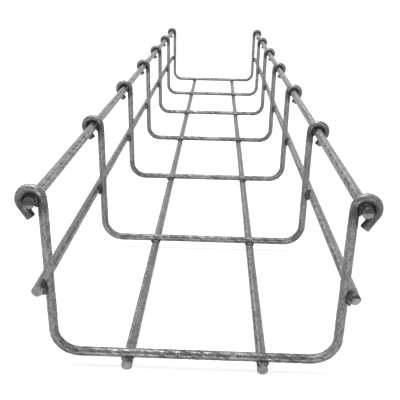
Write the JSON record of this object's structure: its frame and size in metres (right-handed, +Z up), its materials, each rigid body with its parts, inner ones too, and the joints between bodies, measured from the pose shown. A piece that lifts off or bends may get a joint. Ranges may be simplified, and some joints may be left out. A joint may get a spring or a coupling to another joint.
{
  "type": "wire mesh cable basket",
  "caption": "Straight open cable tray of welded round wire: U-shaped cross wires on lengthwise wires, with curled hooks round the top edge wires.",
  "frame": {"origin": "middle of the underside, on the surface that the floor wires lie on", "axes": "+Y along the tray, +X across it, +Z up out of the open top"},
  "size_m": [0.1224, 0.608, 0.0712],
  "materials": {
    "cross_wire_zinc": "galvanised round steel wire, mottled grey zinc with dull bright patches",
    "long_wire_zinc": "galvanised round steel wire, mottled grey zinc with straightener marks"
  },
  "bodies": {
    "root": {"cross_wire_1": "cross_wire_zinc", "cross_wire_2": "cross_wire_zinc", "cross_wire_3": "cross_wire_zinc", "cross_wire_4": "cross_wire_zinc", "cross_wire_5": "cross_wire_zinc", "cross_wire_6": "cross_wire_zinc", "cross_wire_7": "cross_wire_zinc", "floor_wire_left": "long_wire_zinc", "floor_wire_right": "long_wire_zinc", "side_wire_left": "long_wire_zinc", "side_wire_right": "long_wire_zinc", "top_wire_left": "long_wire_zinc", "top_wire_right": "long_wire_zinc"}
  },
  "joints": []
}
